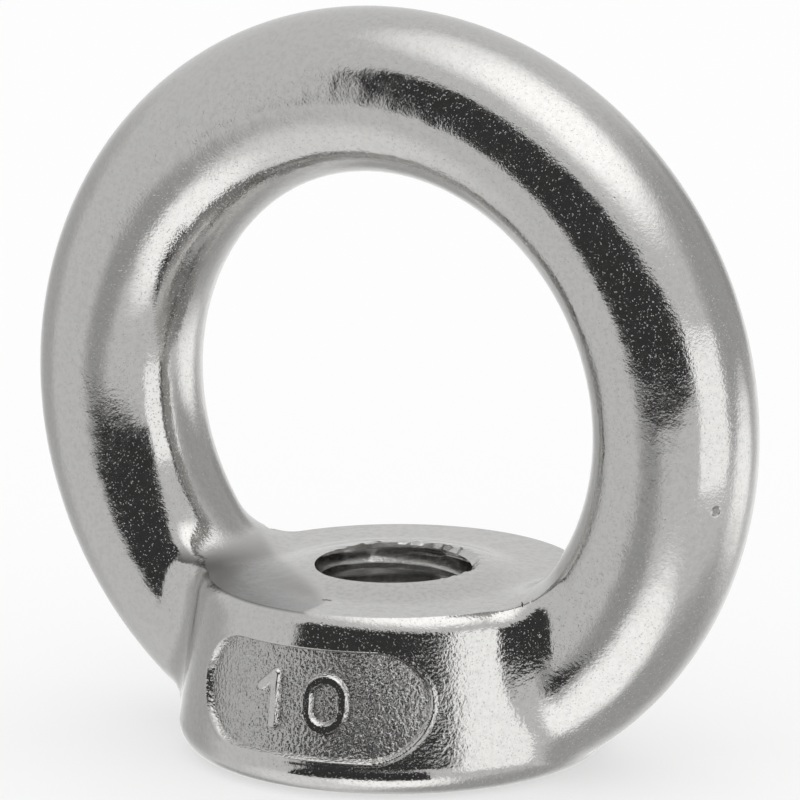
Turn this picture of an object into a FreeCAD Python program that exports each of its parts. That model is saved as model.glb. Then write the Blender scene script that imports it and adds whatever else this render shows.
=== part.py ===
import FreeCAD, Part
import math
import os

# Lifting eye nut for an M10 thread: a round collar with a closed ring standing on it,
# cast in one piece. Sizes are in millimetres. The seat under the collar is at z = 0, the
# thread runs along Z, the ring stands in the XZ plane and the marking field faces -Y.

# Ring: round in section. Its outer diameter is the reference for the whole part. It
# stands as low as it can: its outline runs out halfway up the rounding of the seat edge.
ring_outer_diameter = 45.0
ring_section_diameter = 9.25

# Collar: a drafted drum, wider at the seat than at its top. The seat diameter is where
# the drafted side would meet the seat if the edge were sharp.
collar_seat_diameter = 25.1
collar_height = 10.05
collar_draft_angle = 9.0
collar_seat_rounding = 1.6

# The top face is machined through the cast rounding, so the rounding starts at a crisp
# edge, where its surface already leans this far from level.
collar_top_rounding = 1.7
top_edge_lean_angle = 40.0

# Thread: the bore stands at the crest diameter of a coarse M10 thread.
thread_crest_diameter = 8.376
mouth_diameter = 9.0
seat_countersink_diameter = 10.6

# Blend where each leg of the ring grows out of the collar.
leg_blend_radius = 3.8

# Marking field: a shallow stadium sunk into the front of the collar, between a margin to
# the seat below it and a margin to the top face above it.
field_width = 14.2
field_depth = 0.35
field_margin_to_seat = 2.07
field_margin_to_top = 1.8
field_offset_to_right = 0.4
field_rim_bevel = 0.2

# Sizes that follow from the ones above.
collar_seat_radius = collar_seat_diameter / 2
collar_draft = math.radians(collar_draft_angle)
field_height = collar_height - field_margin_to_seat - field_margin_to_top
bore_radius = thread_crest_diameter / 2
mouth_depth = mouth_diameter / 2 - bore_radius
seat_countersink_depth = seat_countersink_diameter / 2 - bore_radius

UP = FreeCAD.Vector(0, 0, 1)
FRONT = FreeCAD.Vector(0, -1, 0)


def rounding_centre(radius, height):
    """How far from the axis a rounding of the drafted side has its centre."""
    wall = collar_seat_radius - math.tan(collar_draft) * height
    return wall - radius / math.cos(collar_draft)


# The ring's outline leaves the collar at this point of the seat edge, and below half
# that height the ring is cut off level, buried in the collar.
run_out_height = collar_seat_rounding / 2
run_out_level = math.sqrt(collar_seat_rounding**2 - run_out_height**2)
run_out_radius = rounding_centre(collar_seat_rounding, collar_seat_rounding) + run_out_level
ring_section_radius = ring_section_diameter / 2
ring_outer_radius = ring_outer_diameter / 2
ring_centre_radius = ring_outer_radius - ring_section_radius
ring_centre_height = run_out_height + math.sqrt(ring_outer_radius**2 - run_out_radius**2)
ring_foot_height = run_out_height / 2


def at(radius, height):
    """A point of the collar's half section."""
    return FreeCAD.Vector(radius, 0, height)


def rounding(radius, centre_height, start, end):
    """An arc of the half section that runs smoothly into the collar's drafted side."""
    centre = rounding_centre(radius, centre_height)
    angles = (start, (start + end) / 2, end)
    points = [
        at(centre + radius * math.cos(a), centre_height + radius * math.sin(a))
        for a in angles
    ]
    return Part.Arc(*points).toShape()


def collar():
    """The drum turned about Z, its seat edge round and its top edge cut crisp."""
    top_start = math.radians(90 - top_edge_lean_angle)
    top_centre = collar_height - collar_top_rounding * math.sin(top_start)
    seat = rounding(collar_seat_rounding, collar_seat_rounding, -math.pi / 2, collar_draft)
    top = rounding(collar_top_rounding, top_centre, collar_draft, top_start)
    side = Part.makeLine(seat.Vertexes[-1].Point, top.Vertexes[0].Point)
    seat_line = Part.makeLine(at(0, 0), seat.Vertexes[0].Point)
    top_line = Part.makeLine(top.Vertexes[-1].Point, at(0, collar_height))
    axis_line = Part.makeLine(at(0, collar_height), at(0, 0))
    half_section = Part.Wire([seat_line, seat, side, top, top_line, axis_line])
    return Part.Face(half_section).revolve(at(0, 0), UP, 360)


def ring():
    """The round-section ring, cut off level where its foot is buried in the collar."""
    whole = Part.makeTorus(
        ring_centre_radius, ring_section_radius, at(0, ring_centre_height), FRONT
    )
    below = Part.makeCylinder(ring_outer_diameter, ring_outer_diameter)
    below.translate(UP * (ring_foot_height - ring_outer_diameter))
    return whole.cut(below)


def on_ring(point):
    """True where a point is on the ring's surface."""
    across = math.hypot(point.x, point.z - ring_centre_height) - ring_centre_radius
    return abs(math.hypot(across, point.y) - ring_section_radius) < 0.001


def along(edge):
    """Three points spread along an edge."""
    first = edge.FirstParameter
    span = edge.LastParameter - first
    return [edge.valueAt(first + span * part) for part in (0.1, 0.5, 0.9)]


def leaves_collar(edge):
    """True for an edge where the ring comes out through the collar's surface."""
    return all(on_ring(p) and p.z < collar_height + 0.001 for p in along(edge))


def blended(body):
    """Both legs run into the collar through a rolling-ball blend."""
    joint = [e for e in body.Edges if leaves_collar(e)]
    return body.makeFillet(leg_blend_radius, joint)


def inner_drum(inset):
    """What stays of the collar when its drafted side is moved inwards by inset."""
    lower = collar_seat_radius - inset
    upper = lower - math.tan(collar_draft) * collar_height
    return Part.makeCone(lower, upper, collar_height)


def field_outline():
    """The stadium of the marking field as a face in the XZ plane."""
    end_radius = field_height / 2
    reach = field_width / 2 - end_radius
    middle_height = field_margin_to_seat + end_radius
    left = at(field_offset_to_right - reach, middle_height)
    right = at(field_offset_to_right + reach, middle_height)
    rise = UP * end_radius
    out = at(end_radius, 0)
    lower = Part.makeLine(left - rise, right - rise)
    right_end = Part.Arc(right - rise, right + out, right + rise).toShape()
    upper = Part.makeLine(right + rise, left + rise)
    left_end = Part.Arc(left + rise, left - out, left - rise).toShape()
    return Part.Face(Part.Wire([lower, right_end, upper, left_end]))


def depth_in_collar(point):
    """How far a point lies inside the collar's drafted side, measured level."""
    wall = collar_seat_radius - math.tan(collar_draft) * point.z
    return wall - math.hypot(point.x, point.y)


def field_rim(body):
    """The edges where the marking field breaks through the collar's drafted side."""
    front = [e for e in body.Edges if e.BoundBox.YMax < -collar_seat_radius / 2]
    inside = field_margin_to_seat - 0.001
    level = [e for e in front if e.BoundBox.ZMin > inside]
    return [e for e in level if all(abs(depth_in_collar(p)) < 0.01 for p in along(e))]


def marked(body):
    """Sink the marking field to an even depth, its floor parallel to the side."""
    block = field_outline().extrude(FRONT * collar_seat_diameter)
    body = body.cut(block.cut(inner_drum(field_depth)))
    return body.makeChamfer(field_rim_bevel, field_rim(body))


def bore():
    """The tapped hole, opened a little at the top face and countersunk at the seat."""
    hole = Part.makeCylinder(bore_radius, collar_height)
    mouth = Part.makeCone(bore_radius, mouth_diameter / 2, mouth_depth)
    mouth.translate(UP * (collar_height - mouth_depth))
    sink = Part.makeCone(seat_countersink_diameter / 2, bore_radius, seat_countersink_depth)
    return hole.fuse([mouth, sink])


body = blended(collar().fuse(ring()).removeSplitter())
body = marked(body)
body = body.cut(bore())
os.makedirs("parts", exist_ok=True)
body.exportStep("parts/eye_nut.step")
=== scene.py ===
import math

import bmesh
import bpy
import numpy as np
from mathutils import Matrix, Vector, noise


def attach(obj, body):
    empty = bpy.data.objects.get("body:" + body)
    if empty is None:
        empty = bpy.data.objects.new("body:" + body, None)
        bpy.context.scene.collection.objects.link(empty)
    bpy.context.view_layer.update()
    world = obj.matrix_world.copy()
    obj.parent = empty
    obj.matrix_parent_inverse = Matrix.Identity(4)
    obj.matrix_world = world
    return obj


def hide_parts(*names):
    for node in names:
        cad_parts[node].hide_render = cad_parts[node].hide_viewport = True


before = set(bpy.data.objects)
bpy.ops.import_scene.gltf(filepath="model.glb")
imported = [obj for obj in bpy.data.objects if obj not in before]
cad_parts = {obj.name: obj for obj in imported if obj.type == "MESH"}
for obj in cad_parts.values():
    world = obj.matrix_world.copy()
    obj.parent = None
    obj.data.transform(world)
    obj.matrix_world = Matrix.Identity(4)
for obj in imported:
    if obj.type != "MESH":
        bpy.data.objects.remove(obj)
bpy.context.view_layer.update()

# The ring. The real nut is investment-cast in stainless steel in one piece, and its ring is
# round in section. It starts as a torus that stands in the XZ plane, cut off level where
# its foot is buried in the collar. Sizes are in millimetres.
MM = 0.001
RING_OUTER_RADIUS = 22.5
RING_SECTION_RADIUS = 4.625
RING_CENTRE_RADIUS = RING_OUTER_RADIUS - RING_SECTION_RADIUS
COLLAR_SEAT_RADIUS = 12.55
COLLAR_DRAFT = math.radians(9.0)
SEAT_ROUNDING = 1.6


def rounding_centre(radius, height):
    """How far from the thread's axis a rounding of the collar's side has its centre."""
    wall = COLLAR_SEAT_RADIUS - math.tan(COLLAR_DRAFT) * height
    return wall - radius / math.cos(COLLAR_DRAFT)


# The ring's outline runs out halfway up the rounding of the collar's seat edge.
run_out_height = SEAT_ROUNDING / 2
run_out_level = math.sqrt(SEAT_ROUNDING**2 - run_out_height**2)
run_out_radius = rounding_centre(SEAT_ROUNDING, SEAT_ROUNDING) + run_out_level
ring_centre_height = run_out_height + math.sqrt(RING_OUTER_RADIUS**2 - run_out_radius**2)


def pick(piece):
    """Makes one object the active one and selects it alone."""
    bpy.ops.object.select_all(action="DESELECT")
    piece.select_set(True)
    bpy.context.view_layer.objects.active = piece


def edit(piece):
    """Opens one object in edit mode with its whole mesh selected."""
    pick(piece)
    bpy.ops.object.mode_set(mode="EDIT")
    bpy.ops.mesh.select_all(action="SELECT")


bpy.ops.object.select_all(action="DESELECT")
bpy.ops.mesh.primitive_torus_add(
    major_segments=288,
    minor_segments=96,
    major_radius=RING_CENTRE_RADIUS * MM,
    minor_radius=RING_SECTION_RADIUS * MM,
    location=(0, 0, ring_centre_height * MM),
    rotation=(math.pi / 2, 0, 0),
)
ring = bpy.context.object
bpy.ops.object.transform_apply(location=True, rotation=True, scale=True)
edit(ring)
bpy.ops.mesh.bisect(
    plane_co=(0, 0, run_out_height / 2 * MM),
    plane_no=(0, 0, 1),
    use_fill=True,
    clear_inner=True,
    threshold=1e-7,
)
bpy.ops.object.mode_set(mode="OBJECT")

# The collar. It is the nut itself: a drum with a drafted side and a rounded seat edge, cast
# with the ring. Its top face is machined through the cast rounding, so that edge stays
# crisp. The half section is drawn point by point and spun about the thread's axis.
COLLAR_HEIGHT = 10.05
TOP_ROUNDING = 1.7
TOP_EDGE_LEAN = math.radians(40.0)
SIDE_STEP = 0.4
SEAT_STEP = 1.5

top_start = math.pi / 2 - TOP_EDGE_LEAN
seat_centre = (rounding_centre(SEAT_ROUNDING, SEAT_ROUNDING), SEAT_ROUNDING)
top_centre_height = COLLAR_HEIGHT - TOP_ROUNDING * math.sin(top_start)
top_centre = (rounding_centre(TOP_ROUNDING, top_centre_height), top_centre_height)
top_edge_radius = top_centre[0] + TOP_ROUNDING * math.cos(top_start)


def round_edge(centre, radius, start, end, steps):
    """Points along a rounding of the half section."""
    angles = [start + (end - start) * i / steps for i in range(steps + 1)]
    return [(centre[0] + radius * math.cos(a), centre[1] + radius * math.sin(a)) for a in angles]


def straight(first, last, step):
    """Points from first to last, both left out, about one step apart."""
    count = max(1, round(math.dist(first, last) / step))
    run = (last[0] - first[0], last[1] - first[1])
    return [(first[0] + run[0] * i / count, first[1] + run[1] * i / count) for i in range(1, count)]


def draw(points):
    """A new mesh object that is one line of edges through points of the XZ plane."""
    bpy.ops.object.select_all(action="DESELECT")
    bpy.ops.mesh.primitive_plane_add(size=MM, location=(0, 0, 0))
    line = bpy.context.object
    edit(line)
    bpy.ops.mesh.merge(type="CENTER")
    bpy.ops.transform.translate(value=(points[0][0] * MM, 0, points[0][1] * MM))
    for first, last in zip(points, points[1:]):
        step = ((last[0] - first[0]) * MM, 0, (last[1] - first[1]) * MM)
        bpy.ops.mesh.extrude_region_move(TRANSFORM_OT_translate={"value": step})
    bpy.ops.mesh.select_all(action="SELECT")
    return line


seat_edge = round_edge(seat_centre, SEAT_ROUNDING, -math.pi / 2, COLLAR_DRAFT, steps=12)
top_edge = round_edge(top_centre, TOP_ROUNDING, COLLAR_DRAFT, top_start, steps=6)
half_section = [(0, 0)] + straight((0, 0), seat_edge[0], SEAT_STEP) + seat_edge
half_section += straight(seat_edge[-1], top_edge[0], SIDE_STEP) + top_edge
half_section += straight(top_edge[-1], (0, COLLAR_HEIGHT), SIDE_STEP) + [(0, COLLAR_HEIGHT)]
nut = draw(half_section)
bpy.ops.mesh.spin(steps=192, angle=2 * math.pi, center=(0, 0, 0), axis=(0, 0, 1))
bpy.ops.mesh.select_all(action="SELECT")
bpy.ops.mesh.remove_doubles(threshold=1e-6)
bpy.ops.mesh.normals_make_consistent(inside=False)
bpy.ops.object.mode_set(mode="OBJECT")

# The legs. Ring and collar are one casting and grow into each other. The two are joined,
# and what lies in the crease is moved out on to the surface of a ball that rolls along it
# and touches both, as a toolmaker blends the wax pattern.
LEG_BLEND_RADIUS = 3.8
BALL_STEPS = 30
BALL_STEP_LIMIT = 2.0
LEAST_SPREAD = 0.02
ROUNDING_DEPTH = 1.5
FACE_DEPTH = 1.0
CREASE_END = (10.4, 4.3, COLLAR_HEIGHT)
CREASE_END_REACH = 2.6
ON_SURFACE = 0.02
OFF_SURFACE = 0.03
OFF_SEAT = 0.1
ON_EDGE = 0.004


def from_ring(points):
    """Distance of points to the ring's surface, and the way out of it."""
    x, z = points[:, 0], points[:, 2] - ring_centre_height
    radius = np.hypot(x, z)
    centre = np.stack([x, 0 * x, z], 1) * (RING_CENTRE_RADIUS / radius)[:, None]
    out = points - [0, 0, ring_centre_height] - centre
    length = np.linalg.norm(out, axis=1)
    return length - RING_SECTION_RADIUS, out / length[:, None]


def from_collar(points):
    """Distance of points to the collar's surface, and the way out of it."""
    x, y, z = points.T
    radius = np.hypot(x, y)
    place = np.stack([radius, z], 1)
    side_out = np.array([math.cos(COLLAR_DRAFT), math.sin(COLLAR_DRAFT)])
    distance = (place - np.array(seat_edge[-1])) @ side_out
    out = np.tile(side_out, (len(points), 1))
    for centre, size, low, high in (
        (seat_centre, SEAT_ROUNDING, -math.pi / 2, COLLAR_DRAFT),
        (top_centre, TOP_ROUNDING, COLLAR_DRAFT, top_start),
        (top_edge[-1], 0.0, top_start, math.pi / 2),
    ):
        arm = place - centre
        turn = np.arctan2(arm[:, 1], arm[:, 0])
        length = np.maximum(np.linalg.norm(arm, axis=1), 1e-9)
        here = (turn > low) & (turn < high) & (length > size - ROUNDING_DEPTH)
        distance = np.where(here, length - size, distance)
        out = np.where(here[:, None], arm / length[:, None], out)
    flat = (radius < top_edge_radius) & (z > COLLAR_HEIGHT - FACE_DEPTH)
    distance = np.where(flat, z - COLLAR_HEIGHT, distance)
    out = np.where(flat[:, None], np.array([0.0, 1.0]), out)
    way = np.stack([x, y], 1) / np.maximum(radius, 1e-9)[:, None]
    return distance, np.stack([way[:, 0] * out[:, 0], way[:, 1] * out[:, 0], out[:, 1]], 1)


def both_surfaces(points):
    """Distances and ways out of both surfaces, how far the ways are alike, and how far not."""
    ring_gap, ring_out = from_ring(points)
    collar_gap, collar_out = from_collar(points)
    along = (ring_out * collar_out).sum(1)
    spread = np.maximum(1 - along**2, LEAST_SPREAD)
    return ring_gap, ring_out, collar_gap, collar_out, along, spread


def roll_blend(places):
    """Which points lie in the crease, their places on the rolling ball, and the way out."""
    near = (from_ring(places)[0] < LEG_BLEND_RADIUS) & (from_collar(places)[0] < LEG_BLEND_RADIUS)
    near &= places[:, 2] > run_out_height / 2
    points = places[near]
    ball = points.copy()
    for _ in range(BALL_STEPS):
        ring_gap, ring_out, collar_gap, collar_out, along, spread = both_surfaces(ball)
        need_ring = LEG_BLEND_RADIUS - ring_gap
        need_collar = LEG_BLEND_RADIUS - collar_gap
        by_ring = (need_ring - along * need_collar) / spread
        by_collar = (need_collar - along * need_ring) / spread
        step = ring_out * by_ring[:, None] + collar_out * by_collar[:, None]
        track = np.cross(ring_out, collar_out)
        track /= np.maximum(np.linalg.norm(track, axis=1), 1e-9)[:, None]
        step += track * ((points - ball) * track).sum(1)[:, None]
        length = np.linalg.norm(step, axis=1)
        ball += step * np.minimum(1, BALL_STEP_LIMIT / np.maximum(length, 1e-9))[:, None]
    ring_gap, ring_out, collar_gap, collar_out, along, spread = both_surfaces(ball)
    arm = points - ball
    reach = np.linalg.norm(arm, axis=1)
    on_ring, on_collar = (arm * ring_out).sum(1), (arm * collar_out).sum(1)
    settled = abs(ring_gap - LEG_BLEND_RADIUS) + abs(collar_gap - LEG_BLEND_RADIUS) < ON_SURFACE
    between = (along * on_collar > on_ring) & (along * on_ring > on_collar)
    inside = np.zeros(len(places), bool)
    inside[near] = settled & between & (reach < 3 * LEG_BLEND_RADIUS)
    moved = places.copy()
    moved[near] = ball + arm / reach[:, None] * LEG_BLEND_RADIUS
    out = np.zeros((len(places), 3))
    out[near] = -arm / reach[:, None]
    return inside, moved, out


def divide_faces(piece, chosen, cuts):
    """Divides the faces of a piece whose middle, in millimetres, is among the chosen."""
    edit(piece)
    bpy.ops.mesh.select_all(action="DESELECT")
    mesh = bmesh.from_edit_mesh(piece.data)
    for face in mesh.faces:
        face.select_set(bool(chosen(face.calc_center_median() / MM)))
    bmesh.update_edit_mesh(piece.data)
    bpy.ops.mesh.subdivide(number_cuts=cuts)
    bpy.ops.object.mode_set(mode="OBJECT")


def at_crease_end(middle):
    """True near the four places where a blend runs out at the crisp top edge."""
    one_of_four = Vector((abs(middle.x), abs(middle.y), middle.z))
    return (one_of_four - Vector(CREASE_END)).length < CREASE_END_REACH


def combine(body, other, operation):
    """Joins another solid to a body, or cuts it out, and deletes the other."""
    pick(body)
    change = body.modifiers.new("combine", "BOOLEAN")
    change.operation = operation
    change.solver = "EXACT"
    change.object = other
    bpy.ops.object.modifier_apply(modifier="combine")
    bpy.data.objects.remove(other)


def places_of(piece):
    """Where the vertices of a piece are, in millimetres."""
    flat = np.empty(len(piece.data.vertices) * 3)
    piece.data.vertices.foreach_get("co", flat)
    return flat.reshape(-1, 3) / MM


def put(piece, places):
    """Moves the vertices of a piece to places in millimetres."""
    piece.data.vertices.foreach_set("co", (places * MM).ravel())
    piece.data.update()


divide_faces(ring, at_crease_end, cuts=3)
divide_faces(nut, at_crease_end, cuts=3)
combine(nut, ring, "UNION")

# New vertices on a straight chord between old ones are first put on the true surface.
places = places_of(nut)
ring_gap, ring_out = from_ring(places)
collar_gap, collar_out = from_collar(places)
chord = (np.abs(ring_gap) < ON_SURFACE) & (np.abs(collar_gap) > OFF_SURFACE)
places[chord] -= (ring_out * ring_gap[:, None])[chord]
crisp = np.abs(np.hypot(places[:, 0], places[:, 1]) - top_edge_radius) < ON_EDGE
chord = (np.abs(collar_gap) < ON_SURFACE) & (np.abs(ring_gap) > OFF_SURFACE)
chord &= (places[:, 2] > OFF_SEAT) & ~crisp
places[chord] -= (collar_out * collar_gap[:, None])[chord]
blended, moved, out = roll_blend(places)
places[blended] = moved[blended]
put(nut, places)

# The thread. It is a coarse M10, tapped after casting right through the collar. The tap has
# pushed up a low lip with a ragged burr round the mouth, a little off the collar's middle.
# A screw-shaped cutter is spun from one pitch of its profile, and a cone opens each end.
THREAD_PITCH = 1.5
THREAD_CREST_RADIUS = 4.188
THREAD_ROOT_RADIUS = 5.0
THREAD_TURNS = 10
THREAD_START_HEIGHT = 11.89
CREST_LAND = 0.15
CORNER_BREAK = 0.05
CREST_BREAK_RISE = 0.07
ROOT_BREAK_RISE = 0.06
MOUTH_RADIUS = 4.46
MOUTH_DEPTH = 0.5
MOUTH_SHIFT = (0.22, 0.22, 0.0)
MOUTH_SHIFT_FADES_AT = 6.2
SEAT_COUNTERSINK_RADIUS = 5.3
CONE_HEIGHT = 2.0
LIP_HEIGHT = 0.5
LIP_FOOT_RADIUS = 7.6
LEVEL_WITHIN = 1e-4
BURR_LENGTH = 0.45
BURR_HEIGHT = 0.11
BURR_TEETH = 2.7
BURR_TEETH_HEIGHT = 0.05
MOUTH_BAND = 1.0
RIM_BAND = 0.1

places = places_of(nut)
radius = np.hypot(places[:, 0], places[:, 1])
flat = (abs(places[:, 2] - COLLAR_HEIGHT) < LEVEL_WITHIN) & ~blended
climb = np.clip((LIP_FOOT_RADIUS - radius) / (LIP_FOOT_RADIUS - MOUTH_RADIUS), 0, 1)
places[:, 2] += np.where(flat, LIP_HEIGHT * climb**2 * (3 - 2 * climb), 0)
put(nut, places)

flank_rise = (THREAD_ROOT_RADIUS - THREAD_CREST_RADIUS) * math.tan(math.radians(30))
flank_foot = CREST_LAND + CREST_BREAK_RISE
one_flank = [
    (THREAD_CREST_RADIUS, CREST_LAND),
    (THREAD_CREST_RADIUS + CORNER_BREAK, flank_foot),
    (THREAD_ROOT_RADIUS - CORNER_BREAK, flank_foot + flank_rise),
    (THREAD_ROOT_RADIUS, flank_foot + flank_rise + ROOT_BREAK_RISE),
]
one_pitch = one_flank + [(across, THREAD_PITCH - up) for across, up in reversed(one_flank)]
one_pitch += [(THREAD_CREST_RADIUS, THREAD_PITCH + CREST_LAND)]
tap = draw([(across, up + THREAD_START_HEIGHT - CREST_LAND) for across, up in one_pitch])
bpy.ops.mesh.screw(steps=96, turns=THREAD_TURNS, center=(0, 0, 0), axis=(0, 0, 1))
bpy.ops.mesh.select_all(action="SELECT")
bpy.ops.mesh.remove_doubles(threshold=1e-6)
bpy.ops.mesh.fill_holes(sides=0)
bpy.ops.mesh.select_all(action="SELECT")
bpy.ops.transform.resize(value=(1, -1, 1), center_override=(0, 0, 0))
bpy.ops.mesh.normals_make_consistent(inside=False)
bpy.ops.object.mode_set(mode="OBJECT")
combine(nut, tap, "DIFFERENCE")

mouth_low = COLLAR_HEIGHT + LIP_HEIGHT - MOUTH_DEPTH
mouth_flare = (MOUTH_RADIUS - THREAD_CREST_RADIUS) / MOUTH_DEPTH
sink_depth = SEAT_COUNTERSINK_RADIUS - THREAD_CREST_RADIUS
for low, low_radius, high_radius in (
    (mouth_low, THREAD_CREST_RADIUS, THREAD_CREST_RADIUS + CONE_HEIGHT * mouth_flare),
    (sink_depth - CONE_HEIGHT, THREAD_CREST_RADIUS + CONE_HEIGHT, THREAD_CREST_RADIUS),
):
    bpy.ops.object.select_all(action="DESELECT")
    bpy.ops.mesh.primitive_cone_add(
        vertices=128,
        radius1=low_radius * MM,
        radius2=high_radius * MM,
        depth=CONE_HEIGHT * MM,
        location=(0, 0, (low + CONE_HEIGHT / 2) * MM),
    )
    bpy.ops.object.transform_apply(location=True, rotation=True, scale=True)
    combine(nut, bpy.context.object, "DIFFERENCE")

places = places_of(nut)
radius = np.hypot(places[:, 0], places[:, 1])
opened = np.clip((radius - THREAD_CREST_RADIUS) / (MOUTH_RADIUS - THREAD_CREST_RADIUS), 0, 1)
fading = np.clip((MOUTH_SHIFT_FADES_AT - radius) / (MOUTH_SHIFT_FADES_AT - MOUTH_RADIUS), 0, 1)
at_mouth = abs(places[:, 2] - mouth_low) < MOUTH_BAND
places += (opened * fading * at_mouth)[:, None] * MOUTH_SHIFT
at_rim = at_mouth & (radius < MOUTH_RADIUS + RIM_BAND)
at_rim &= places[:, 2] > COLLAR_HEIGHT + LIP_HEIGHT - RIM_BAND
for i in np.flatnonzero(at_rim):
    spot = Vector(places[i] / BURR_LENGTH)
    teeth = noise.noise(spot * BURR_TEETH)
    places[i, 2] += BURR_HEIGHT * noise.noise(spot) + BURR_TEETH_HEIGHT * teeth
put(nut, places)

# The marking field. It is a shallow stadium cast into the front of the collar, with a
# grained floor, a softly rounded rim and two plain raised numerals for the thread's
# diameter in millimetres. The side is divided finely there and pressed in.
FIELD_WIDTH = 14.2
FIELD_MARGIN_TO_SEAT = 2.07
FIELD_MARGIN_TO_TOP = 1.8
FIELD_DEPTH = 0.35
FIELD_TO_RIGHT = 0.4
FIELD_RIM = 0.21
FIELD_SURROUND = 0.6
FIELD_BAND = 1.0
ON_FACE = 0.01
RIM_BEAD = 0.035
RIM_BEAD_WIDTH = 0.16
BEAD_FADES_OVER = 0.15
FLOOR_GRAIN = 0.15
FLOOR_RELIEF = 0.016
FINER_GRAINS = 2.3
FINER_SHARE = 0.5
NUMERAL_SMOOTHNESS = 0.85
NUMERAL_HEIGHT = 3.5
NUMERAL_STROKE = 0.75
NUMERAL_RISE = 0.3
NUMERAL_EDGE = 0.19
ONE_AT = -1.3
ONE_BEAK = (-0.95, -0.8)
NOUGHT_AT = 1.9
NOUGHT_WIDTH = 2.9

field_radius = (COLLAR_HEIGHT - FIELD_MARGIN_TO_SEAT - FIELD_MARGIN_TO_TOP) / 2
field_middle = FIELD_MARGIN_TO_SEAT + field_radius


def pill(x, z, half_width, half_height, round_radius):
    """Distance to a rounded rectangle about the origin, less than nothing inside it."""
    over_x = np.abs(x) - (half_width - round_radius)
    over_z = np.abs(z) - (half_height - round_radius)
    corner = np.hypot(np.maximum(over_x, 0), np.maximum(over_z, 0))
    return corner + np.minimum(np.maximum(over_x, over_z), 0) - round_radius


def stroke(x, z, first, last):
    """Distance to a round-ended stroke between two points, less than nothing inside it."""
    run = np.subtract(last, first)
    part = np.clip(((x - first[0]) * run[0] + (z - first[1]) * run[1]) / (run @ run), 0, 1)
    return np.hypot(x - first[0] - part * run[0], z - first[1] - part * run[1]) - NUMERAL_STROKE / 2


def ramp(distance, width):
    """Rises softly from 0 at the distance 0 to 1 at minus the width."""
    part = np.clip(-distance / width, 0, 1)
    return part * part * (3 - 2 * part)


def at_field(middle):
    """True on the collar's front, over the field and a little around it."""
    wide = abs(middle.x - FIELD_TO_RIGHT) < FIELD_WIDTH / 2 + FIELD_SURROUND
    high = abs(middle.z - field_middle) < field_radius + FIELD_SURROUND
    return wide and high and middle.y < -COLLAR_SEAT_RADIUS / 2


divide_faces(nut, at_field, cuts=6)
places = places_of(nut)
x, y, z = places.T.copy()
radius = np.hypot(x, y)
wall = COLLAR_SEAT_RADIUS - math.tan(COLLAR_DRAFT) * z
rim_gap = pill(x - FIELD_TO_RIGHT, z - field_middle, FIELD_WIDTH / 2, field_radius, field_radius)
on_side = (abs(radius - wall) < ON_FACE) & (y < 0) & (rim_gap < FIELD_BAND)
sunk = ramp(rim_gap, FIELD_RIM)

# The numerals are drawn on the side unrolled flat: a bar with its beak, and a ring.
spread = wall * np.arctan2(x, -y)
level = z - field_middle
tip = (NUMERAL_HEIGHT - NUMERAL_STROKE) / 2
bar = stroke(spread, level, (ONE_AT, -tip), (ONE_AT, tip))
beak = stroke(spread, level, (ONE_AT, tip), (ONE_AT + ONE_BEAK[0], tip + ONE_BEAK[1]))
loop = pill(spread - NOUGHT_AT, level, NOUGHT_WIDTH / 2, NUMERAL_HEIGHT / 2, NOUGHT_WIDTH / 2)
nought = np.abs(loop + NUMERAL_STROKE / 2) - NUMERAL_STROKE / 2
numerals = np.minimum(np.minimum(bar, beak), nought)
raised = ramp(numerals, NUMERAL_EDGE) * (rim_gap < -FIELD_RIM)

grain = np.zeros(len(places))
for i in np.flatnonzero(on_side & (rim_gap < 0)):
    spot = Vector(places[i] / FLOOR_GRAIN)
    grain[i] = noise.noise(spot) + FINER_SHARE * noise.noise(spot * FINER_GRAINS)
bead = np.where(rim_gap > -FIELD_RIM, np.exp(-((rim_gap / RIM_BEAD_WIDTH) ** 2)), 0)
bead *= np.clip((z - seat_edge[-1][1]) / BEAD_FADES_OVER, 0, 1)
depth = FIELD_DEPTH * sunk - NUMERAL_RISE * raised - RIM_BEAD * bead * (1 - sunk)
depth += FLOOR_RELIEF * grain * sunk * (1 - NUMERAL_SMOOTHNESS * raised)
pressed = np.where(on_side, wall - depth, radius) / np.maximum(radius, 1e-9)
put(nut, np.stack([x * pressed, y * pressed, np.maximum(z, 0)], 1))

# The surfaces of the casting differ in finish, so each vertex says which it belongs to: the
# field's floor as cast, the machined top face, a part of that face on its left, up the leg's
# foot, that is drawn darker and rougher, and the tapped bore.
DARK_LEFT_STARTS_AT = 7.3
DARK_LEFT_STEP_WIDTH = 1.3
DARK_LEFT_STEP = 0.55
DARK_LEFT_FADES_OVER = 4.5
DARK_LEFT_RADIUS = 12.5
DARK_LEFT_CLIMBS = 0.9
DARK_LEFT_FULL_CLIMB = 0.1
BORE_BAND = 0.05


def mark(name, shares):
    """Stores a share from 0 to 1 at each vertex of the nut, for its material."""
    attribute = nut.data.attributes.new(name, "FLOAT", "POINT")
    attribute.data.foreach_set("value", shares.astype(float))


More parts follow.
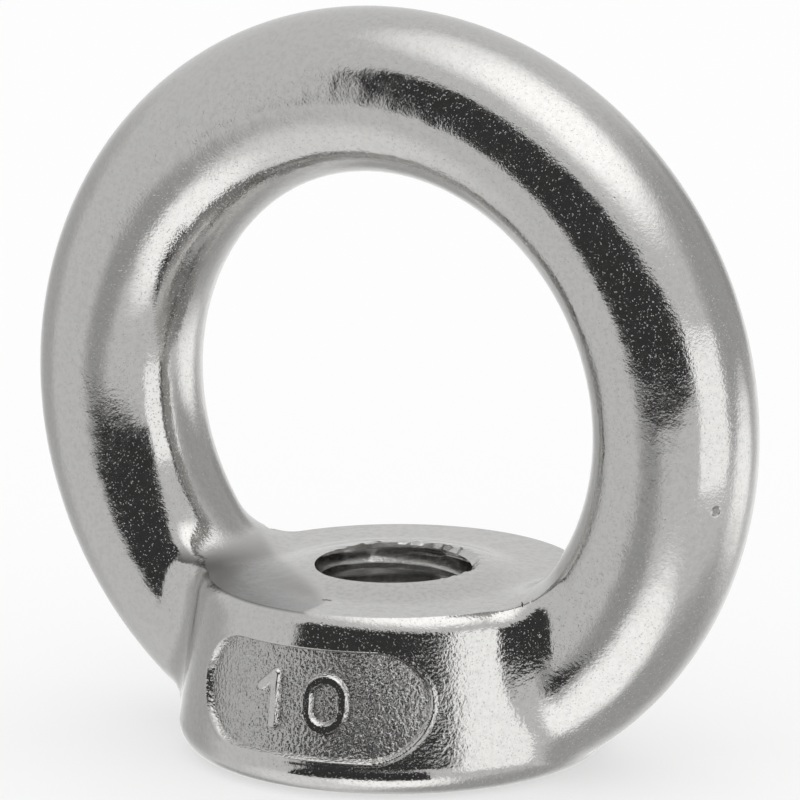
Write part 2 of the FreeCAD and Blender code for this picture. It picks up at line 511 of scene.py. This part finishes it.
mark("cast_floor", np.where(on_side, sunk * (1 - raised), 0.0))
at_top = (abs(z - COLLAR_HEIGHT) < LIP_HEIGHT + RIM_BAND) & (radius < top_edge_radius)
mark("machined_face", at_top & (radius > MOUTH_RADIUS))
# The share for the left of the top face, up the left leg's foot, which the material makes darker and
# rougher.
to_left = -x - y
past_step = (to_left - DARK_LEFT_STARTS_AT - DARK_LEFT_STEP_WIDTH) / DARK_LEFT_FADES_OVER
dark_left = DARK_LEFT_STEP * ramp(DARK_LEFT_STARTS_AT - to_left, DARK_LEFT_STEP_WIDTH)
dark_left += (1 - DARK_LEFT_STEP) * np.clip(past_step, 0, 1)
dark_left *= np.clip((COLLAR_HEIGHT + DARK_LEFT_CLIMBS - z) / (DARK_LEFT_CLIMBS - DARK_LEFT_FULL_CLIMB), 0, 1)
dark_left *= (z > COLLAR_HEIGHT - ON_FACE) & (radius < DARK_LEFT_RADIUS) & (x < 0)
mark("darker_left_top", dark_left)
in_bore = (radius < THREAD_ROOT_RADIUS + BORE_BAND) & (z > BORE_BAND)
mark("tapped", in_bore & (z < mouth_low + BORE_BAND))

# A polished casting shows every flaw of a reflection, so the normals of its smooth forms
# are set exactly, and the machined top edge stays sharp until the blend.
CREASE_ANGLE = math.radians(24)

pick(nut)
nut.name = "eye_nut_casting"
nut.data.name = "eye_nut_casting"
bpy.ops.object.shade_smooth_by_angle(angle=CREASE_ANGLE)
places = places_of(nut)
ring_gap, ring_out = from_ring(places)
collar_gap, collar_out = from_collar(places)
inside, moved, blend_out = roll_blend(places)
radius = np.hypot(places[:, 0], places[:, 1])
outer = (radius > top_edge_radius + ON_SURFACE) & (places[:, 2] > ON_SURFACE)
on_collar = (np.abs(collar_gap) < ON_EDGE) & outer
on_ring = np.abs(ring_gap) < ON_EDGE
on_blend = inside & (np.linalg.norm(moved - places, axis=1) < ON_EDGE)
at_edge = np.abs(radius - top_edge_radius) < ON_FACE
at_edge &= np.abs(places[:, 2] - COLLAR_HEIGHT) < ON_SURFACE
true_normal = np.zeros((len(places), 3))
true_normal[on_collar] = collar_out[on_collar]
true_normal[on_ring] = ring_out[on_ring]
true_normal[on_blend] = blend_out[on_blend]
true_normal[at_edge] = 0
edges = np.empty(len(nut.data.edges) * 2, int)
nut.data.edges.foreach_get("vertices", edges)
sharp = nut.data.attributes.get("sharp_edge") or nut.data.attributes.new("sharp_edge", "BOOLEAN", "EDGE")
flags = np.empty(len(nut.data.edges), bool)
sharp.data.foreach_get("value", flags)
sharp.data.foreach_set("value", flags | at_edge[edges.reshape(-1, 2)].all(1))
loops = np.empty(len(nut.data.loops), int)
nut.data.loops.foreach_get("vertex_index", loops)
nut.data.normals_split_custom_set(true_normal[loops].tolist())
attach(nut, "root")
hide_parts("eye_nut")

# Cast stainless steel, ground and then polished in a drum. It mirrors its surroundings a
# little softly, with a grain that comes and goes in patches, fine bright specks and pores,
# and a slow wave. Sizes and heights are in millimetres.
STEEL = "#C6C5C3"
DULL_STEEL_AND_SHADE = "#6C6B6A"
# The real polish is finer than the picture can show, so its grains are drawn coarser.
GRAINS = {
    "patch": (4.5, 2),
    "wave": (1.7, 1),
    "polish": (0.5, 3),
    "mottle": (0.3, 3),
    "coarse": (0.24, 2),
    "floor": (0.2, 1),
    "fine": (0.17, 2),
    "speck": (0.11, 1),
}
PORE_SPACING = 1.3
PORE_WIDTH = 0.2
PORE_SHARE = 0.2
TOP_PITS = (((-0.2, -7.62, 10.06), 0.2), ((0.06, -7.6, 10.06), 0.16))
RING_PIT = ((21.65, -2.35, 16.6), 0.36)
RING_PIT_DEPTH = 0.55
COARSE_PATCH = ((9.6, -7.0, 5.5), 7.0)


def linear(hex_colour):
    """An sRGB hex colour as linear RGBA."""
    parts = [int(hex_colour[i : i + 2], 16) / 255 for i in (1, 3, 5)]
    return [p / 12.92 if p <= 0.04045 else ((p + 0.055) / 1.055) ** 2.4 for p in parts] + [1.0]


def add_node(tree, kind, settings):
    """Adds a node and sets its properties and inputs, by value or by a link to a source."""
    node = tree.nodes.new(kind)
    for name, value in settings.items():
        if isinstance(value, bpy.types.Node):
            value = value.outputs[0]
        if isinstance(value, bpy.types.NodeSocket):
            tree.links.new(value, node.inputs[name])
        elif isinstance(name, str) and hasattr(node, name):
            setattr(node, name, value)
        else:
            node.inputs[name].default_value = value
    return node


steel = bpy.data.materials.new("polished_cast_stainless")
steel.use_nodes = True
tree = steel.node_tree
shader = tree.nodes["Principled BSDF"]
shader.inputs["Metallic"].default_value = 1.0
place = add_node(tree, "ShaderNodeTexCoord", {}).outputs["Object"]
part = {}
for name in ("cast_floor", "machined_face", "darker_left_top", "tapped"):
    part[name] = add_node(tree, "ShaderNodeAttribute", {"attribute_name": name}).outputs["Fac"]
pattern = {}
for name, (size, detail) in GRAINS.items():
    settings = {"Vector": place, "Scale": 1 / (size * MM), "Detail": detail, "Roughness": 0.55}
    pattern[name] = add_node(tree, "ShaderNodeTexNoise", settings)


def near_spot(centre, radius):
    """A share of 1 at a spot of the casting, which falls to 0 at its radius."""
    settings = {"operation": "DISTANCE", 0: place, 1: Vector(centre) * MM}
    far = add_node(tree, "ShaderNodeVectorMath", settings).outputs["Value"]
    settings = {"interpolation_type": "SMOOTHSTEP", "Value": far, "To Min": 1, "To Max": 0}
    settings |= {"From Min": 0.5 * radius * MM, "From Max": radius * MM}
    return add_node(tree, "ShaderNodeMapRange", settings)


# Each of these runs softly between two values, by where a source lies between two levels.
settings = {"operation": "SUBTRACT", 0: part["machined_face"], 1: part["darker_left_top"]}
face_less_dark_left = add_node(tree, "ShaderNodeMath", settings)
cells = add_node(tree, "ShaderNodeTexVoronoi", {"Vector": place, "Scale": 1 / (PORE_SPACING * MM)})
pore_edge = PORE_WIDTH / 2 / PORE_SPACING
soft = {}
for name, source, low, high, least, most in (
    ("patch", pattern["patch"], 0.42, 0.66, 0.45, 1.3),
    ("calm", face_less_dark_left, 0, 1, 1, 0.55),
    ("speck", pattern["speck"], 0.65, 0.76, 0, 1),
    ("pore", cells, 0.4 * pore_edge, pore_edge, 1, 0),
    ("polish", pattern["polish"], 0.3, 0.7, 0.07, 0.15),
    ("mottle", pattern["mottle"], 0.4, 0.68, 0, 0.09),
):
    settings = {"interpolation_type": "SMOOTHSTEP", "Value": source, "From Min": low, "From Max": high}
    soft[name] = add_node(tree, "ShaderNodeMapRange", settings | {"To Min": least, "To Max": most})

# The hollows: pores in some of the cells, and three single pits, which also paint shade into the tone.
chance = add_node(tree, "ShaderNodeSeparateColor", {"Color": cells.outputs["Color"]})
has_pore = add_node(tree, "ShaderNodeMath", {"operation": "LESS_THAN", 0: chance, 1: PORE_SHARE})
settings = {"operation": "ADD", 0: near_spot(*TOP_PITS[0]), 1: near_spot(*TOP_PITS[1])}
pits = add_node(tree, "ShaderNodeMath", settings)
settings = {"operation": "MULTIPLY_ADD", 0: near_spot(*RING_PIT), 1: RING_PIT_DEPTH, 2: pits}
pits = add_node(tree, "ShaderNodeMath", settings | {"use_clamp": True})

# The relief is built up in layers, each a height times a pattern times where it is found.
# The grain is coarser where the collar runs into the right leg, but not in the field.
not_floor = add_node(tree, "ShaderNodeMath", {"operation": "SUBTRACT", 0: 1.0, 1: part["cast_floor"]})
settings = {"operation": "MULTIPLY", 0: near_spot(*COARSE_PATCH), 1: not_floor}
coarse_part = add_node(tree, "ShaderNodeMath", settings)
relief = 0.0
for height, source, where in (
    (0.012, pattern["fine"], soft["patch"]),
    (0.12, pattern["floor"], part["cast_floor"]),
    (0.022, pattern["coarse"], coarse_part),
    (-0.009, soft["speck"], 1.0),
    (-0.025, soft["pore"], has_pore),
):
    layer = add_node(tree, "ShaderNodeMath", {"operation": "MULTIPLY", 0: source, 1: where})
    relief = add_node(tree, "ShaderNodeMath", {"operation": "MULTIPLY_ADD", 0: layer, 1: height, 2: relief})
relief = add_node(tree, "ShaderNodeMath", {"operation": "MULTIPLY", 0: relief, 1: soft["calm"]})
for height, source in ((0.03, pattern["wave"]), (-0.12, pits)):
    relief = add_node(tree, "ShaderNodeMath", {"operation": "MULTIPLY_ADD", 0: source, 1: height, 2: relief})
bump = add_node(tree, "ShaderNodeBump", {"Strength": 1.0, "Distance": MM, "Height": relief})
tree.links.new(bump.outputs["Normal"], shader.inputs["Normal"])

# Roughness: the floor as cast is the softest, then the darker left of the top face and the tapped bore.
rough = soft["polish"]
for share, where in ((0.14, "cast_floor"), (0.12, "darker_left_top"), (0.12, "tapped")):
    settings = {"operation": "MULTIPLY_ADD", 0: part[where], 1: share, 2: rough}
    rough = add_node(tree, "ShaderNodeMath", settings)
tree.links.new(rough.outputs[0], shader.inputs["Roughness"])

# Tone: the pits get painted shade, the left of the top face is darker, the bore and the floor a little, and
# all has a faint mottle.
more_on_face = add_node(tree, "ShaderNodeMath", {"operation": "ADD", 0: part["machined_face"], 1: 1.0})
dull_and_shade = add_node(tree, "ShaderNodeMath", {"operation": "MULTIPLY", 0: soft["mottle"], 1: more_on_face})
for share, source in (
    # The pits' share is painted shade that darkens the colour in their hollows; their dents are real.
    (1.0, pits),
    (1.0, part["darker_left_top"]),
    (0.2, part["tapped"]),
    (0.2, part["cast_floor"]),
):
    layer = add_node(tree, "ShaderNodeMath", {"operation": "MULTIPLY", 0: source, 1: share})
    dull_and_shade = add_node(tree, "ShaderNodeMath", {"operation": "MAXIMUM", 0: layer, 1: dull_and_shade})
settings = {"data_type": "RGBA", "Factor": dull_and_shade, 6: linear(STEEL), 7: linear(DULL_STEEL_AND_SHADE)}
tone = add_node(tree, "ShaderNodeMix", settings)
tree.links.new(tone.outputs[2], shader.inputs["Base Color"])
nut.data.materials.clear()
nut.data.materials.append(steel)

# The floor that the nut stands on. It is a plain sheet of matt white paper, lit by the
# tent, and half of what the lens sees of it is plain white, so the shadow stays light.
FLOOR_SIZE = 6.0
PAPER_WHITE = "#F4F4F4"
PAPER_ROUGHNESS = 0.9

bpy.ops.object.select_all(action="DESELECT")
bpy.ops.mesh.primitive_plane_add(size=FLOOR_SIZE, location=(0, 0, 0))
floor = bpy.context.object
floor.name = "floor"
floor.visible_glossy = False
paper = bpy.data.materials.new("white_paper")
paper.use_nodes = True
tree = paper.node_tree
sheet = tree.nodes["Principled BSDF"]
sheet.inputs["Base Color"].default_value = linear(PAPER_WHITE)
sheet.inputs["Roughness"].default_value = PAPER_ROUGHNESS
seen = add_node(tree, "ShaderNodeLightPath", {}).outputs["Is Camera Ray"]
white = add_node(tree, "ShaderNodeEmission", {"Strength": 1.0})
half = add_node(tree, "ShaderNodeMath", {"operation": "MULTIPLY", 0: seen, 1: 0.5})
both = add_node(tree, "ShaderNodeMixShader", {0: half, 1: sheet, 2: white})
tree.links.new(both.outputs[0], tree.nodes["Material Output"].inputs["Surface"])
floor.data.materials.append(paper)

# The camera. It is a long lens that stands a little above and to the right of the nut's
# front, and it is turned by a hair, as the photograph is. Its places are in metres.
CAMERA_PLACE = Vector((0.299959, -0.526468, 0.167097))
CAMERA_AIM = Vector((0.0003282, 0.0, 0.0199451))
CAMERA_ROLL = math.radians(0.2664)
LENS_LENGTH = 500.541
FILM_WIDTH = 36.0

view = bpy.data.cameras.new("camera")
view.lens = LENS_LENGTH
view.sensor_width = FILM_WIDTH
view.clip_start = 0.01
camera = bpy.data.objects.new("camera", view)
bpy.context.scene.collection.objects.link(camera)
camera.location = CAMERA_PLACE
upright = (CAMERA_AIM - CAMERA_PLACE).to_track_quat("-Z", "Y").to_matrix().to_4x4()
camera.rotation_euler = (upright @ Matrix.Rotation(-CAMERA_ROLL, 4, "Z")).to_euler()
bpy.context.scene.camera = camera
bpy.context.scene.view_settings.view_transform = "Standard"

# The studio. It is a white tent round the nut, brighter or darker in places. The metal
# mirrors it; the floor is lit by an even white, and the lens sees plain white.
TENT_LEVEL = 0.81
SEEN_LEVEL = 1.0
LIGHT_LEVEL = 1.08
# Each glow: azimuth, elevation, where its falloff starts and ends in degrees, its level.
GLOWS = (
    (0, 90, 12, 34, 1.35),
    (75, 68, 8, 37, 1.75),
    (138, 11, 18, 44, 0.50),
    (-105, -8, 6, 30, 0.56),
    (-8, -24, 4, 22, 0.46),
    (138, -21, 8, 24, 1.45),
    (-172, -17, 4, 14, 1.02),
    (-148, -17, 4, 14, 1.05),
    (174, 6, 4, 17, 0.42),
    (140, -62, 12, 42, 0.50),
    (-127, -44, 4, 15, 0.50),
    (-48, -62, 10, 34, 1.06),
    (27, -57, 14, 30, 1.55),
)


def direction(azimuth, elevation):
    """A unit vector by degrees: azimuth 0 is the nut's front and 90 its right."""
    turn, rise = math.radians(azimuth), math.radians(elevation)
    return Vector((math.sin(turn) * math.cos(rise), -math.cos(turn) * math.cos(rise), math.sin(rise)))


world = bpy.data.worlds.new("studio")
world.use_nodes = True
bpy.context.scene.world = world
tree = world.node_tree
way = add_node(tree, "ShaderNodeTexCoord", {}).outputs["Generated"]
level = TENT_LEVEL
for azimuth, elevation, start, end, strength in GLOWS:
    settings = {"operation": "DOT_PRODUCT", 0: way, 1: direction(azimuth, elevation)}
    facing = add_node(tree, "ShaderNodeVectorMath", settings).outputs["Value"]
    settings = {"interpolation_type": "SMOOTHSTEP", "Value": facing}
    settings["From Min"] = math.cos(math.radians(end))
    settings["From Max"] = math.cos(math.radians(start))
    share = add_node(tree, "ShaderNodeMapRange", settings)
    level = add_node(tree, "ShaderNodeMix", {"data_type": "FLOAT", "Factor": share, 2: level, 3: strength})
rays = add_node(tree, "ShaderNodeLightPath", {})
for kind, strength in (("Is Camera Ray", SEEN_LEVEL), ("Is Diffuse Ray", LIGHT_LEVEL)):
    settings = {"data_type": "FLOAT", "Factor": rays.outputs[kind], 2: level, 3: strength}
    level = add_node(tree, "ShaderNodeMix", settings)
background = tree.nodes["Background"]
background.inputs["Color"].default_value = (1, 1, 1, 1)
tree.links.new(level.outputs[0], background.inputs["Strength"])

# The cards. A black flag hangs where the lens looks into the tent and a white panel stands
# to its right, and both are seen only by the metal. A strip of the same black on the floor
# in front of the nut is a painted contact shadow, which the metal mirrors as the dark line
# under its field. Corners are in degrees.
BLACK_LEVEL = 0.05
WHITE_LEVEL = 1.45
FLAG_DISTANCE = 1.2
FLAG_CORNERS = (
    (-28, -9), (-29, 8), (-34, 28), (-31, 39), (-10, 41), (8, 36),
    (35, 26), (60, 14), (60, 1), (35, -6), (0, -11),
)
PANEL_DISTANCE = 1.3
PANEL_CORNERS = ((63, -20), (63, 14), (105, 14), (105, -20))
STRIP_OUTER_RADIUS = 21.0
STRIP_INNER_RADIUS = 13.3
STRIP_AZIMUTHS = np.linspace(-4, 40, 12)


def card_paint(name, strength):
    """A material that only glows."""
    paint = bpy.data.materials.new(name)
    paint.use_nodes = True
    paint.node_tree.nodes.clear()
    glow = add_node(paint.node_tree, "ShaderNodeEmission", {"Strength": strength})
    add_node(paint.node_tree, "ShaderNodeOutputMaterial", {"Surface": glow})
    return paint


def card(name, corners, paint):
    """A card of the studio that only the metal sees, through its corners' places."""
    bpy.ops.object.select_all(action="DESELECT")
    bpy.ops.mesh.primitive_circle_add(vertices=len(corners), fill_type="NGON")
    board = bpy.context.object
    board.name = name
    for vertex, corner in zip(board.data.vertices, corners):
        vertex.co = corner
    board.data.update()
    board.data.materials.append(paint)
    board.visible_camera = False
    board.visible_diffuse = False
    board.visible_shadow = False


black = card_paint("black_flag", BLACK_LEVEL)
card("black_flag", [direction(*c) * FLAG_DISTANCE for c in FLAG_CORNERS], black)
bright = card_paint("white_panel", WHITE_LEVEL)
card("white_panel", [direction(*c) * PANEL_DISTANCE for c in PANEL_CORNERS], bright)
painted_shadow_strip = [direction(a, 0) * STRIP_OUTER_RADIUS * MM for a in STRIP_AZIMUTHS]
painted_shadow_strip += [direction(a, 0) * STRIP_INNER_RADIUS * MM for a in reversed(STRIP_AZIMUTHS)]
card("floor_shade", painted_shadow_strip, black)
